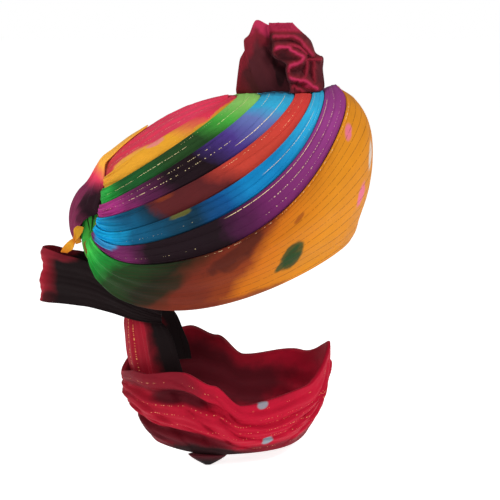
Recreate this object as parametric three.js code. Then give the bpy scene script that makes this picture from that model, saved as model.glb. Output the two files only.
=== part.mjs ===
// A tied pagri: a wound turban of pleated cloth, with a standing pleated crest, a gathered
// knot behind, and a long tail that drops from the knot and goes once round the neck.
// Millimetres. +Z is up, the wearer faces -Y and the wearer's right side is -X.
// The origin is the middle of the head opening, level with the front of the rim.
import * as THREE from "three";

// Sizes that drive the form
const GAP = 0.5; // between neighbouring pieces of cloth
const END_WALL = 5; // the wound layers drawn tight at the knot
const PLEAT_RISE = 4; // how far a pleat's rolled upper edge stands above the next pleat
const PRESSED = 0.45; // share of that rise left under the crest
const PLEAT_CROWN = 2.2; // soft swell across each pleat
const CLOTH = 2.6; // the crest and the tail, a doubled cloth
const RIM_FULLNESS = 0.74; // under 1 squares the plan of the rim towards the brow
const TOP_FULLNESS = 0.9; // the plan of the edges that cross the top of the head
const BACK_FULLNESS = 0.95; // the plan of the winding as it narrows to the knot
const SWEEP_POWER = 20; // how late an edge turns up into the knot
const TUCK_POWER = 50; // how close to the middle the front edge is tucked back
const TUCK_DROP = 5; // how far the front edge is pressed down there
const FORM_CENTRE = new THREE.Vector3(0, 12, 35);
const FORM_RADII = new THREE.Vector3(112, 150, 150); // the rounded form that the winding follows

// Each row is the upper edge of one pass of the cloth, and the first is the rim. An edge runs from
// (endX, endY, endZ) near the knot, swings out to halfWidth beside the head, pulled towards
// (bellyY, bellyZ) in the side view, and crosses the middle of the turban at (topY, topZ). Its last
// stretch is swept up into the knot by sweep. The wall is how thick the wound layers are there.
const EDGES = [
  { name: "rim", topY: -116, topZ: 24, bellyY: 82, bellyZ: -83, halfWidth: 94,
    endX: 28, endY: 172, endZ: -6, sweep: 30, wall: 6 },
  { name: "front", topY: -109, topZ: 188, bellyY: -51, bellyZ: 6, halfWidth: 115,
    endX: 28, endY: 166, endZ: 6, sweep: 25, tuck: 12.5, wall: 15 },
  { name: "purple", topY: -82, topZ: 182, bellyY: -42, bellyZ: 62, halfWidth: 118,
    endX: 28, endY: 163.5, endZ: 17, sweep: 20, wall: 17 },
  { name: "blue", topY: -69, topZ: 180, bellyY: -21, bellyZ: 92, halfWidth: 116,
    endX: 28, endY: 161, endZ: 30, sweep: 13, wall: 18 },
  { name: "red", topY: -51, topZ: 179, bellyY: 3, bellyZ: 114, halfWidth: 110,
    endX: 28, endY: 158.5, endZ: 49, sweep: 2, wall: 18 },
  { name: "violet", topY: -15, topZ: 177, bellyY: 36, bellyZ: 134, halfWidth: 100,
    endX: 28, endY: 155.5, endZ: 64, sweep: 0, wall: 18 },
  { name: "green", topY: 10, topZ: 176, bellyY: 64, bellyZ: 136, halfWidth: 87,
    endX: 27, endY: 152, endZ: 81, sweep: 0, wall: 16 },
  { name: "yellow", topY: 19, topZ: 174, bellyY: 104, bellyZ: 135, halfWidth: 77,
    endX: 26, endY: 150, endZ: 93, sweep: 0, wall: 14 },
];

// Each pass of the cloth lies between two of the edges above, in the same order.
const WRAPS = [
  { name: "front_band", colour: 0xe8912a, bellyFront: 30, bellySide: 8 },
  { name: "wrap_purple", colour: 0x7d2a80, bellyFront: 0, bellySide: 2 },
  { name: "wrap_blue", colour: 0x1f8fcf, bellyFront: 0, bellySide: 2 },
  { name: "wrap_red", colour: 0xc8402f, bellyFront: 0, bellySide: 1 },
  { name: "wrap_violet", colour: 0x4b3a94, bellyFront: 1, bellySide: 1 },
  { name: "wrap_green", colour: 0x2a8a3c, bellyFront: 1, bellySide: 1 },
  { name: "wrap_yellow", colour: 0xedaa2b, bellyFront: 0, bellySide: 0 },
];
const WRAP_STEPS = 38;
// Places across a pass, from its tucked lower edge to its rolled upper edge, and the share of
// PLEAT_RISE at each. The front band is the widest pass and has more of them.
const PLEAT = {
  skew: 1, across: [0, 0.3, 0.62, 0.9, 1], height: [0, 0.35, 0.72, 1, 0.45] };
const FRONT_PLEAT = {
  skew: 1.27,
  across: [0, 0.1, 0.24, 0.4, 0.57, 0.74, 0.88, 0.96, 1],
  height: [0, 0.2, 0.3, 0.4, 0.55, 0.75, 0.95, 1, 0.45],
};

function lerp(a, b, s) {
  return a + (b - a) * s;
}

function clothMaterial(colour) {
  return new THREE.MeshStandardMaterial({ color: colour, roughness: 0.85, metalness: 0 });
}

// The outward direction of the rounded form at a point.
function formNormal(p) {
  const d = p.clone().sub(FORM_CENTRE);
  return d.divide(FORM_RADII).divide(FORM_RADII).normalize();
}

// A closed solid between two grids of points, outer[k][j] and inner[k][j].
// With ring set, the last row joins the first.
function solidBetween(outer, inner, ring = false) {
  const rows = outer.length;
  const columns = outer[0].length;
  const points = [...outer.flat(), ...inner.flat()];
  const innerStart = rows * columns;
  const triangles = [];
  const quad = (a, b, c, d) => triangles.push(a, b, c, a, c, d);
  const at = (k, j) => (k % rows) * columns + j;
  const lastRow = ring ? rows : rows - 1;
  for (let k = 0; k < lastRow; k++) {
    for (let j = 0; j < columns - 1; j++) {
      quad(at(k, j), at(k, j + 1), at(k + 1, j + 1), at(k + 1, j));
      quad(innerStart + at(k, j), innerStart + at(k + 1, j),
        innerStart + at(k + 1, j + 1), innerStart + at(k, j + 1));
    }
    quad(at(k, 0), at(k + 1, 0), innerStart + at(k + 1, 0), innerStart + at(k, 0));
    const j = columns - 1;
    quad(at(k, j), innerStart + at(k, j), innerStart + at(k + 1, j), at(k + 1, j));
  }
  if (!ring) {
    const last = rows - 1;
    for (let j = 0; j < columns - 1; j++) {
      quad(at(0, j), innerStart + at(0, j), innerStart + at(0, j + 1), at(0, j + 1));
      quad(at(last, j), at(last, j + 1), innerStart + at(last, j + 1), innerStart + at(last, j));
    }
  }
  const geometry = new THREE.BufferGeometry();
  geometry.setAttribute("position", new THREE.Float32BufferAttribute(points.flatMap((p) => p.toArray()), 3));
  geometry.setIndex(outwards(points, triangles));
  geometry.computeVertexNormals();
  return geometry;
}

// The same triangles, turned round if they enclose a negative volume.
function outwards(points, triangles) {
  let volume = 0;
  for (let i = 0; i < triangles.length; i += 3) {
    const [a, b, c] = [0, 1, 2].map((n) => points[triangles[i + n]]);
    volume += a.dot(b.clone().cross(c));
  }
  if (volume > 0) return triangles;
  const turned = [];
  for (let i = 0; i < triangles.length; i += 3) {
    turned.push(triangles[i], triangles[i + 2], triangles[i + 1]);
  }
  return turned;
}

// A sheet of even thickness about a grid of points.
function sheetSolid(grid, thickness, ring = false) {
  const rows = grid.length;
  const columns = grid[0].length;
  const side = (sign) => grid.map((row, k) => row.map((p, j) => {
    const before = grid[ring ? (k + rows - 1) % rows : Math.max(k - 1, 0)][j];
    const after = grid[ring ? (k + 1) % rows : Math.min(k + 1, rows - 1)][j];
    const along = after.clone().sub(before);
    const across = row[Math.min(j + 1, columns - 1)].clone().sub(row[Math.max(j - 1, 0)]);
    return p.clone().addScaledVector(along.cross(across).normalize(), (sign * thickness) / 2);
  }));
  return solidBetween(side(1), side(-1), ring);
}

function addPiece(group, name, geometry, colour) {
  const mesh = new THREE.Mesh(geometry, clothMaterial(colour));
  mesh.name = name;
  group.add(mesh);
}

// A point of one edge. turn runs from -1, at the knot on the right, through 0, the middle
// of the turban, to 1, at the knot on the left.
function edgePoint(edge, turn) {
  const angle = Math.PI * Math.abs(turn);
  const c = (1 + Math.cos(angle)) / 2;
  const bezier = (end, belly, top) => (1 - c) ** 2 * end + 2 * c * (1 - c) * belly + c ** 2 * top;
  const swing = Math.max(Math.sin(angle), 0);
  const fullness = lerp(RIM_FULLNESS, TOP_FULLNESS, EDGES.indexOf(edge) / (EDGES.length - 1));
  const reach = angle < Math.PI / 2
    ? edge.halfWidth * swing ** fullness
    : edge.endX + (edge.halfWidth - edge.endX) * swing ** BACK_FULLNESS;
  return new THREE.Vector3(
    Math.sign(turn) * reach,
    bezier(edge.endY, edge.bellyY, edge.topY) + (edge.tuck ?? 0) * c ** TUCK_POWER,
    bezier(edge.endZ, edge.bellyZ, edge.topZ) + edge.sweep * (1 - c) ** SWEEP_POWER,
  );
}

// Turns spaced so that the steps along the cloth are about even.
function wrapTurn(step) {
  const s = (2 * step) / WRAP_STEPS - 1;
  return Math.sign(s) * Math.abs(s) ** 1.25;
}

// One pass of the cloth: a wall between two edges, with a swelling outer face whose upper edge is rolled.
function wrapGeometry(wrap, lower, upper) {
  const broad = wrap.bellyFront > 2;
  const pleat = broad ? FRONT_PLEAT : PLEAT;
  const outer = [];
  const inner = [];
  for (let step = 0; step <= WRAP_STEPS; step++) {
    const turn = wrapTurn(step);
    const angle = Math.PI * Math.abs(turn);
    const low = edgePoint(lower, turn);
    const high = edgePoint(upper, turn);
    const inset = Math.min(GAP / 2 / low.distanceTo(high), 0.2);
    const towardsKnot = (1 - Math.cos(angle)) / 2;
    const facing = Math.max(Math.cos(angle), 0);
    const pressed = broad ? 1 : lerp(PRESSED, 1, THREE.MathUtils.smoothstep(angle, 0.15, 0.8));
    const drawnIn = 1 - towardsKnot ** 4;
    const belly = lerp(wrap.bellySide * drawnIn, wrap.bellyFront, facing ** 1.4);
    const outerRow = [];
    const innerRow = [];
    pleat.across.forEach((v, j) => {
      const p = low.clone().lerp(high, lerp(inset, 1 - inset, v));
      const n = formNormal(p);
      const arch = Math.sin(Math.PI * v ** pleat.skew);
      const pressedDown = TUCK_DROP * THREE.MathUtils.smoothstep(v, 0.8, 1) * (1 - towardsKnot) ** TUCK_POWER;
      const rise = pressed * (PLEAT_RISE * pleat.height[j] + PLEAT_CROWN * arch) - (broad ? pressedDown : 0);
      outerRow.push(p.clone().addScaledVector(n, belly * arch + rise * lerp(1, 0.6, towardsKnot)));
      const wall = lerp(lerp(lower.wall, upper.wall, v), END_WALL, towardsKnot ** 3);
      innerRow.push(p.clone().addScaledVector(n, belly * arch - wall));
    });
    outer.push(outerRow);
    inner.push(innerRow);
  }
  return solidBetween(outer, inner);
}

// The crown: the first passes of the cloth, a low dome across the head inside the last edge.
const CROWN = {
  frontRise: 5, rise: 17, backRise: 18.5, wall: 12, firstTurn: 0.05, lastTurn: 0.985,
  steps: 16, columns: 10, colour: 0xd22a50,
};

function crownPoint(turn, across, lift) {
  const edge = EDGES[EDGES.length - 1];
  const right = edgePoint(edge, -turn);
  const half = Math.max(-right.x - 2 * GAP, 1);
  const p = new THREE.Vector3(half * across, right.y, right.z);
  const middle = lerp(CROWN.frontRise, CROWN.rise, THREE.MathUtils.smoothstep(turn, CROWN.firstTurn, 0.5));
  const rise = lerp(middle, CROWN.backRise, THREE.MathUtils.smoothstep(turn, 0.5, 0.75));
  p.z += rise * (1 - across ** 2);
  return p.addScaledVector(formNormal(p), lift);
}

function crownGeometry() {
  const grid = (lift) => Array.from({ length: CROWN.steps + 1 }, (_, k) => {
    const turn = lerp(CROWN.firstTurn, CROWN.lastTurn, k / CROWN.steps);
    return Array.from({ length: CROWN.columns + 1 }, (__, j) =>
      crownPoint(turn, lerp(-1, 1, j / CROWN.columns), lift));
  });
  return solidBetween(grid(0), grid(-CROWN.wall));
}

// The back fold: a pass that lies along the crown and hangs as a soft lobe over the knot.
// Each row is one section: its middle (y, z), half its width, and how far its sides curl in.
const BACK_FOLD = [
  { y: 108, z: 146.4, halfWidth: 8, curl: 0.6 },
  { y: 117.3, z: 140.7, halfWidth: 15, curl: 1 },
  { y: 127.9, z: 134.1, halfWidth: 21, curl: 2 },
  { y: 137.8, z: 126.7, halfWidth: 24, curl: 2.7 },
  { y: 147.1, z: 119, halfWidth: 25.5, curl: 3.3 },
  { y: 157, z: 111, halfWidth: 25.5, curl: 5 },
  { y: 164, z: 99.8, halfWidth: 24.5, curl: 11.5 },
  { y: 173, z: 84.5, halfWidth: 24.5, curl: 21 },
  { y: 184.2, z: 72.3, halfWidth: 25, curl: 25 },
  { y: 191.5, z: 58, halfWidth: 27.5, curl: 21 },
  { y: 194, z: 43.6, halfWidth: 29, curl: 14.5 },
  { y: 192.5, z: 28, halfWidth: 25, curl: 9 },
  { y: 187, z: 16, halfWidth: 17, curl: 6 },
];
const BACK_FOLD_WALL = 2.4;
const BACK_FOLD_COLUMNS = 6;

function backFoldGeometry() {
  const grid = (depth) => BACK_FOLD.map((row, k) => {
    const before = BACK_FOLD[Math.max(k - 1, 0)];
    const after = BACK_FOLD[Math.min(k + 1, BACK_FOLD.length - 1)];
    const out = new THREE.Vector3(0, before.z - after.z, after.y - before.y).normalize();
    return Array.from({ length: BACK_FOLD_COLUMNS + 1 }, (_, j) => {
      const across = lerp(-1, 1, j / BACK_FOLD_COLUMNS);
      const p = new THREE.Vector3(row.halfWidth * across, row.y, row.z);
      const ripple = 1.5 * THREE.MathUtils.smoothstep(row.y, 130, 175) * Math.cos(3 * Math.PI * across);
      return p.addScaledVector(out, ripple - row.curl * across ** 2 - depth);
    });
  });
  return solidBetween(grid(0), grid(BACK_FOLD_WALL));
}

// The knot: the ends of the passes drawn together into an upright gathered bundle.
const KNOT = {
  y: 168, z: 28, halfWidth: 26.2, halfDepth: 12, halfHeight: 32, gathers: 5, steps: 12, sides: 16,
};

function knotGeometry() {
  const profile = (k) => {
    const s = lerp(-1, 1, k / KNOT.steps);
    const pinch = 0.82 + 0.18 * Math.cos(KNOT.gathers * Math.PI * s);
    return { x: s * KNOT.halfWidth, size: pinch * Math.max(1 - 0.35 * s ** 4, 0.3) };
  };
  const loop = (k) => Array.from({ length: KNOT.sides }, (_, j) => {
    const turn = (2 * Math.PI * j) / KNOT.sides;
    const { x, size } = profile(k);
    return new THREE.Vector3(
      x,
      KNOT.y + KNOT.halfDepth * size * Math.cos(turn),
      KNOT.z + KNOT.halfHeight * size * Math.sin(turn),
    );
  });
  const loops = Array.from({ length: KNOT.steps + 1 }, (_, k) => loop(k));
  return loftGeometry(loops);
}

// A closed solid through loops of points, each end closed by a fan about its middle.
function loftGeometry(loops) {
  const sides = loops[0].length;
  const points = loops.flat();
  const triangles = [];
  for (let k = 0; k < loops.length - 1; k++) {
    for (let j = 0; j < sides; j++) {
      const [a, b] = [k * sides + j, k * sides + ((j + 1) % sides)];
      triangles.push(a, b, b + sides, a, b + sides, a + sides);
    }
  }
  [0, loops.length - 1].forEach((k) => {
    const middle = points.length;
    points.push(loops[k].reduce((sum, p) => sum.add(p), new THREE.Vector3()).divideScalar(sides));
    for (let j = 0; j < sides; j++) {
      const [a, b] = [k * sides + j, k * sides + ((j + 1) % sides)];
      triangles.push(...(k ? [a, b, middle] : [b, a, middle]));
    }
  });
  const geometry = new THREE.BufferGeometry();
  geometry.setAttribute("position", new THREE.Float32BufferAttribute(points.flatMap((p) => p.toArray()), 3));
  geometry.setIndex(outwards(points, triangles));
  geometry.computeVertexNormals();
  return geometry;
}

// The crest: a pleated end of the cloth that stands on the winding as a fan.
const CREST = {
  baseY: -37, baseZ: 182.4, lean: 0.07, skew: 0.17, halfSpan: 48, height: 75, rootShare: 0.1,
  firstAngle: 0.03, lastAngle: 3.11, pleats: 8, rootDepth: 3, hemDepth: 21, sway: 0.08,
  steps: 56, rows: 5, colour: 0x7a1232,
};

function crestPoint(s, r) {
  const angle = lerp(CREST.firstAngle, CREST.lastAngle, s);
  const fold = 2 * Math.PI * CREST.pleats * s;
  const swayed = angle - CREST.sway * r * Math.sin(2 * fold);
  const share = lerp(CREST.rootShare, 1, r);
  const forward = CREST.halfSpan * Math.cos(swayed) * share;
  const tallness = CREST.height * (1 - CREST.skew * Math.cos(swayed));
  const up = tallness * Math.max(Math.sin(swayed), 0) ** 0.9 * share;
  return new THREE.Vector3(
    lerp(CREST.rootDepth, CREST.hemDepth, r) * Math.sin(fold),
    CREST.baseY - forward,
    CREST.baseZ + up + CREST.lean * forward,
  );
}

function crestGeometry() {
  const grid = Array.from({ length: CREST.steps + 1 }, (_, k) =>
    Array.from({ length: CREST.rows + 1 }, (__, j) => crestPoint(k / CREST.steps, j / CREST.rows)));
  return sheetSolid(grid, CLOTH);
}

// The tail loop: the tail leaves the knot backwards, folds round and comes back under the rim.
// Each row is a place on its right half, from under the rim to the fold at the back.
const TAIL_LOOP = [
  { x: 44.5, y: 92, top: -50, bottom: -64 },
  { x: 41, y: 118, top: -36, bottom: -62 },
  { x: 32, y: 148, top: -16, bottom: -55 },
  { x: 25, y: 170, top: -2, bottom: -51 },
  { x: 20, y: 186, top: 3, bottom: -50 },
  { x: 15, y: 204, top: 6, bottom: -49 },
  { x: 9, y: 221, top: 11, bottom: -49 },
  { x: 0, y: 228, top: 12, bottom: -49 },
];
const LOOP_RIPPLES = 3.5;
const LOOP_RIPPLE_DEPTH = 2.2;
const LOOP_LEAN = 7; // how far the fold leans forward at its top
const LOOP_ROWS = 10;

function tailLoopGeometry() {
  const right = TAIL_LOOP.map((row) => ({ ...row, x: -row.x }));
  const left = TAIL_LOOP.slice(0, -1).reverse();
  const stations = [...right, ...left];
  const grid = stations.map((row, k) => {
    const before = stations[Math.max(k - 1, 0)];
    const after = stations[Math.min(k + 1, stations.length - 1)];
    const out = new THREE.Vector3(before.y - after.y, after.x - before.x, 0).normalize();
    return Array.from({ length: LOOP_ROWS + 1 }, (_, j) => {
      const v = j / LOOP_ROWS;
      const lean = LOOP_LEAN * v ** 3 * THREE.MathUtils.smoothstep(row.y, 180, 226);
      const p = new THREE.Vector3(row.x, row.y - lean, lerp(row.bottom, row.top, v));
      return p.addScaledVector(out, LOOP_RIPPLE_DEPTH * Math.cos(2 * Math.PI * LOOP_RIPPLES * v));
    });
  });
  return sheetSolid(grid, CLOTH);
}

// The tail drop: the tail spreads as it falls behind the neck. Each row is one level.
const TAIL_DROP = [
  { z: -5, halfWidth: 12, backY: 168, sideY: 165 },
  { z: -30, halfWidth: 18, backY: 150, sideY: 142 },
  { z: -44, halfWidth: 27, backY: 138, sideY: 118 },
  { z: -60, halfWidth: 38, backY: 133, sideY: 94 },
  { z: -80, halfWidth: 50, backY: 133, sideY: 78 },
  { z: -108, halfWidth: 57, backY: 131, sideY: 68 },
  { z: -134, halfWidth: 60, backY: 125, sideY: 62 },
];
const DROP_PLEATS = 6;
const DROP_COLUMNS = 30;

function tailDropGeometry() {
  const grid = TAIL_DROP.map((row, k) => Array.from({ length: DROP_COLUMNS + 1 }, (_, j) => {
    const across = lerp(-1, 1, j / DROP_COLUMNS);
    const fall = k / (TAIL_DROP.length - 1);
    const pleat = lerp(1.2, 3, fall) * Math.cos(DROP_PLEATS * Math.PI * across);
    return new THREE.Vector3(
      row.halfWidth * Math.sin((Math.PI / 2) * across),
      lerp(row.backY, row.sideY, 1 - Math.cos((Math.PI / 2) * across)) + pleat,
      row.z,
    );
  }));
  return sheetSolid(grid, CLOTH);
}

// The neck wrap: one turn of the tail, bunched into long folds. Each row is one place round the
// neck, from the throat to the nape on the right; the left side is the same.
const NECK_WRAP = [
  { bearing: 0, top: -97, bottom: -193, reach: 115, thick: 9 },
  { bearing: 40, top: -126, bottom: -197, reach: 112, thick: 12 },
  { bearing: 80, top: -139, bottom: -199, reach: 101, thick: 18 },
  { bearing: 98, top: -116, bottom: -199, reach: 103, thick: 18 },
  { bearing: 116, top: -103, bottom: -198, reach: 107, thick: 18 },
  { bearing: 145, top: -112, bottom: -195, reach: 115, thick: 16 },
  { bearing: 180, top: -127, bottom: -178, reach: 118.5, thick: 12.5 },
];
const NECK = { centreY: 22, steps: 40, rows: 8, folds: 3, foldDepth: 3.5, tuck: 0.2, spiral: 1 };

// The row between two rows of the neck wrap at a bearing in degrees.
function neckRow(degrees) {
  const bearing = Math.abs(((degrees + 180) % 360) - 180);
  const next = Math.max(NECK_WRAP.findIndex((row) => row.bearing >= bearing), 1);
  const [a, b] = [NECK_WRAP[next - 1], NECK_WRAP[next]];
  const s = THREE.MathUtils.smoothstep(bearing, a.bearing, b.bearing);
  const mixed = (key) => lerp(a[key], b[key], s);
  return { top: mixed("top"), bottom: mixed("bottom"), reach: mixed("reach"), thick: mixed("thick") };
}

function neckWrapGeometry() {
  const outer = [];
  const inner = [];
  for (let k = 0; k < NECK.steps; k++) {
    const degrees = (360 * k) / NECK.steps;
    const bearing = THREE.MathUtils.degToRad(degrees);
    const row = neckRow(degrees);
    const place = (v, depth) => {
      const swell = Math.sin(Math.PI * v);
      const fold = NECK.foldDepth * Math.cos(2 * Math.PI * (NECK.folds * v) + NECK.spiral * bearing);
      const lean = lerp(1 - NECK.tuck, 1, v);
      const radius = row.reach * lean + (fold + 6) * swell - depth;
      return new THREE.Vector3(
        -radius * Math.sin(bearing),
        NECK.centreY - radius * Math.cos(bearing),
        lerp(row.bottom, row.top, v),
      );
    };
    const levels = Array.from({ length: NECK.rows + 1 }, (_, j) => j / NECK.rows);
    outer.push(levels.map((v) => place(v, 0)));
    inner.push(levels.map((v) => place(v, row.thick * lerp(0.45, 1, Math.sin(Math.PI * v)))));
  }
  return solidBetween(outer, inner, true);
}

// The tail tip: the end of the tail, tucked under the neck wrap and hanging below it.
const TIP = { y: 42, x: -78, top: -199.5, drop: 12, halfWidth: 21, thick: 7, sides: 10 };

function tailTipGeometry() {
  const loop = (fall) => Array.from({ length: TIP.sides }, (_, j) => {
    const turn = (2 * Math.PI * j) / TIP.sides;
    const narrowing = 1 - 0.85 * fall ** 1.3;
    return new THREE.Vector3(
      TIP.x + TIP.thick * narrowing * Math.cos(turn),
      TIP.y + TIP.halfWidth * narrowing * Math.sin(turn),
      TIP.top - TIP.drop * fall,
    );
  });
  return loftGeometry([0, 0.35, 0.7, 1].map(loop));
}

const pagri = new THREE.Group();
WRAPS.forEach((wrap, i) => {
  addPiece(pagri, wrap.name, wrapGeometry(wrap, EDGES[i], EDGES[i + 1]), wrap.colour);
});
addPiece(pagri, "crown", crownGeometry(), CROWN.colour);
addPiece(pagri, "back_fold", backFoldGeometry(), 0x8a1f4e);
addPiece(pagri, "knot", knotGeometry(), 0x3fae46);
addPiece(pagri, "crest", crestGeometry(), CREST.colour);
addPiece(pagri, "tail_loop", tailLoopGeometry(), 0x6d1029);
addPiece(pagri, "tail_drop", tailDropGeometry(), 0xa5182f);
addPiece(pagri, "neck_wrap", neckWrapGeometry(), 0xb81d35);
addPiece(pagri, "tail_tip", tailTipGeometry(), 0x8f152b);

export default pagri;
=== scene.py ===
import math

import bpy
import numpy as np
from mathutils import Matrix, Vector


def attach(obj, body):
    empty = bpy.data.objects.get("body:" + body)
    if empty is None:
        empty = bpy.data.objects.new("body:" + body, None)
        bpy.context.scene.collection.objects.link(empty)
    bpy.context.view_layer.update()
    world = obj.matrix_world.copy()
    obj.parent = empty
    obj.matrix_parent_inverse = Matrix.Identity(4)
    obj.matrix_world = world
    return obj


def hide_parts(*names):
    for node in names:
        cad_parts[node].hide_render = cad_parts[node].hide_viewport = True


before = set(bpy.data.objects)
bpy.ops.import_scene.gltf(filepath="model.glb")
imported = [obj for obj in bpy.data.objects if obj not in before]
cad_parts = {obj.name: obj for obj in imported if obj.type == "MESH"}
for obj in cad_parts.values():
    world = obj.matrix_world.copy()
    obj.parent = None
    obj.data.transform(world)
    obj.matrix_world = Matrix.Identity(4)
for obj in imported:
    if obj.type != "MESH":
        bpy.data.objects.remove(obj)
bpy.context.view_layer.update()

# The white table, the soft lamps and the camera. The table is a plain white plane just under the end of
# the tail, and the camera looks a little down from the wearer's right.
scene = bpy.context.scene
scene.view_settings.view_transform = "Standard"
TABLE_Z = -0.2132
TABLE_SIZE = 24
WHITE = (1, 1, 1, 1)
bpy.ops.object.select_all(action="DESELECT")
bpy.ops.mesh.primitive_plane_add(size=TABLE_SIZE, location=(0, 0, TABLE_Z))
bpy.ops.object.transform_apply(location=True, rotation=True, scale=True)
table = bpy.context.object
table.name = "white_table"
table_white = bpy.data.materials.new("table_white")
table_white.use_nodes = True
table_shader = table_white.node_tree.nodes["Principled BSDF"]
table_shader.inputs["Base Color"].default_value = (0.9, 0.9, 0.9, 1)
table_shader.inputs["Roughness"].default_value = 0.9
table_shader.inputs["Emission Color"].default_value = WHITE
table_shader.inputs["Emission Strength"].default_value = 0.8
table.data.materials.append(table_white)

surround = bpy.data.worlds.new("white_surround")
scene.world = surround
surround.use_nodes = True
sky = surround.node_tree
sky_light = sky.nodes["Background"]
sky_light.inputs["Color"].default_value = WHITE
sky_light.inputs["Strength"].default_value = 0.24
sky_seen = sky.nodes.new("ShaderNodeBackground")
sky_seen.inputs["Color"].default_value = WHITE
sky_seen.inputs["Strength"].default_value = 1.0
sky_path = sky.nodes.new("ShaderNodeLightPath")
sky_mix = sky.nodes.new("ShaderNodeMixShader")
sky.links.new(sky_path.outputs["Is Camera Ray"], sky_mix.inputs["Fac"])
sky.links.new(sky_light.outputs["Background"], sky_mix.inputs[1])
sky.links.new(sky_seen.outputs["Background"], sky_mix.inputs[2])
sky.links.new(sky_mix.outputs["Shader"], sky.nodes["World Output"].inputs["Surface"])

MIDDLE = Vector((0, -0.0033, 0.0078))  # what the camera and the lamps face


def soft_lamp(name, place, size, watts):
    bpy.ops.object.light_add(type="AREA", location=place)
    lamp = bpy.context.object
    lamp.name = name
    lamp.data.size = size
    lamp.data.energy = watts
    lamp.rotation_euler = (MIDDLE - Vector(place)).to_track_quat("-Z", "Y").to_euler()


soft_lamp("lamp_front", (-0.8, -0.95, 1.2), size=0.6, watts=15)
soft_lamp("lamp_side", (-1.4, 0.1, 0.5), size=0.9, watts=3)
soft_lamp("lamp_back", (-0.4, 1.3, 0.7), size=0.5, watts=8)

CAMERA_RISE = math.radians(11.5)
CAMERA_AWAY = 1.4
CAMERA_SENSOR_MM = 36
CAMERA_LENS_MM = 91.6
camera_place = MIDDLE + CAMERA_AWAY * Vector((-math.cos(CAMERA_RISE), 0, math.sin(CAMERA_RISE)))
bpy.ops.object.camera_add(location=camera_place)
camera = bpy.context.object
camera.rotation_euler = (MIDDLE - camera_place).to_track_quat("-Z", "Y").to_euler()
camera.data.sensor_width = CAMERA_SENSOR_MM
camera.data.lens = CAMERA_LENS_MM
scene.camera = camera

# The passes of the turban: one very long strip of thin cotton, dyed in bands and wound over a padded core.
# Each pass is laid in pleats with its upper edge rolled over the next one, and all of them are drawn
# together at the knot behind. Loose gold yarn runs along the pleats.
MM = 0.001
GAP = 0.5  # between neighbouring passes, in millimetres like all forms below
END_WALL = 5  # thickness of a pass at the knot
PLEAT_RISE = 4  # height of a pass's upper edge over the next pass
PLEAT_CROWN = 2.2  # further height of its middle
PRESSED = 0.45  # share of that height left at the front
PRESSED_AT_KNOT = 0.6  # share of that height left at the knot
FRONT_FULLNESS = (0.74, 0.9)  # how round the front is, at the first edge and at the last
BACK_FULLNESS = 0.95
SWEEP_POWER = 20
FRONT_TUCK = 12.5  # how far the broad band's upper edge is drawn in at the front
TUCK_POWER = 50
FORM_CENTRE = np.array([0, 12, 35])  # an egg shape, whose normals the pleats stand along
FORM_RADII = np.array([112, 150, 150])
# top y, top z, belly y, belly z, half width, end x, end y, end z, sweep into the knot, wall
PASS_EDGES = np.array([
    [-116, 24, 82, -83, 94, 28, 172, -6, 30, 6],
    [-109, 188, -51, 6, 115, 28, 166, 6, 25, 15],
    [-82, 182, -42, 62, 118, 28, 163.5, 17, 20, 17],
    [-69, 180, -21, 92, 116, 28, 161, 30, 13, 18],
    [-51, 179, 3, 114, 110, 28, 158.5, 49, 2, 18],
    [-15, 177, 36, 134, 100, 28, 155.5, 64, 0, 18],
    [10, 176, 64, 136, 87, 27, 152, 81, 0, 16],
    [19, 174, 104, 135, 77, 26, 150, 93, 0, 14],
], dtype=float)
LAST_EDGE = len(PASS_EDGES) - 1
FACE_SHARE = 0.86  # of a pass's outer points, the rest turn over its rolled edge
BACK_POINTS = 10  # across the hidden side of a pass
PASS_COLUMNS = 300
COLUMN_POWER = 1.15  # the columns of cells stand closer at the front
EDGE_ROUND = (0.5, 1.7)  # smallest and largest radius of the rolled edge
GATHER_DEPTH = 1.5
SOFT_CREASE, FINE_CREASE = 0.9, 0.3
BAND_SLACK = (2.2, 0.8)  # loose waves in the broad band, at the side and at the front
BAND_RIM_TURN, BAND_TOP_TURN = 3, 5  # how far its rim and its top edge turn in
# the broad band's climb from its rim to its upper edge: place across, height
BAND_SLOPE = ([0, 0.1, 0.24, 0.4, 0.57, 0.74, 0.88, 0.96, 1], [0, 0.2, 0.3, 0.4, 0.55, 0.75, 0.95, 1, 1])
DRIFT_GRID = 64


def mix(a, b, s):
    return a + (b - a) * s


def ease(x, low, high):
    s = np.clip((x - low) / (high - low), 0, 1)
    return s * s * (3 - 2 * s)


def columns(*parts):
    return np.stack(parts, axis=1)


def drift(x, y, seed):
    """A slow uneven change over the cloth, between -1 and 1."""
    marks = np.random.default_rng(seed).uniform(-1, 1, (DRIFT_GRID, DRIFT_GRID))
    i, j = np.floor(x).astype(int), np.floor(y).astype(int)
    a, b = ease(x - i, 0, 1), ease(y - j, 0, 1)
    i, j = i % DRIFT_GRID, j % DRIFT_GRID
    next_i, next_j = (i + 1) % DRIFT_GRID, (j + 1) % DRIFT_GRID
    near = mix(marks[i, j], marks[next_i, j], a)
    far = mix(marks[i, next_j], marks[next_i, next_j], a)
    return mix(near, far, b)


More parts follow.
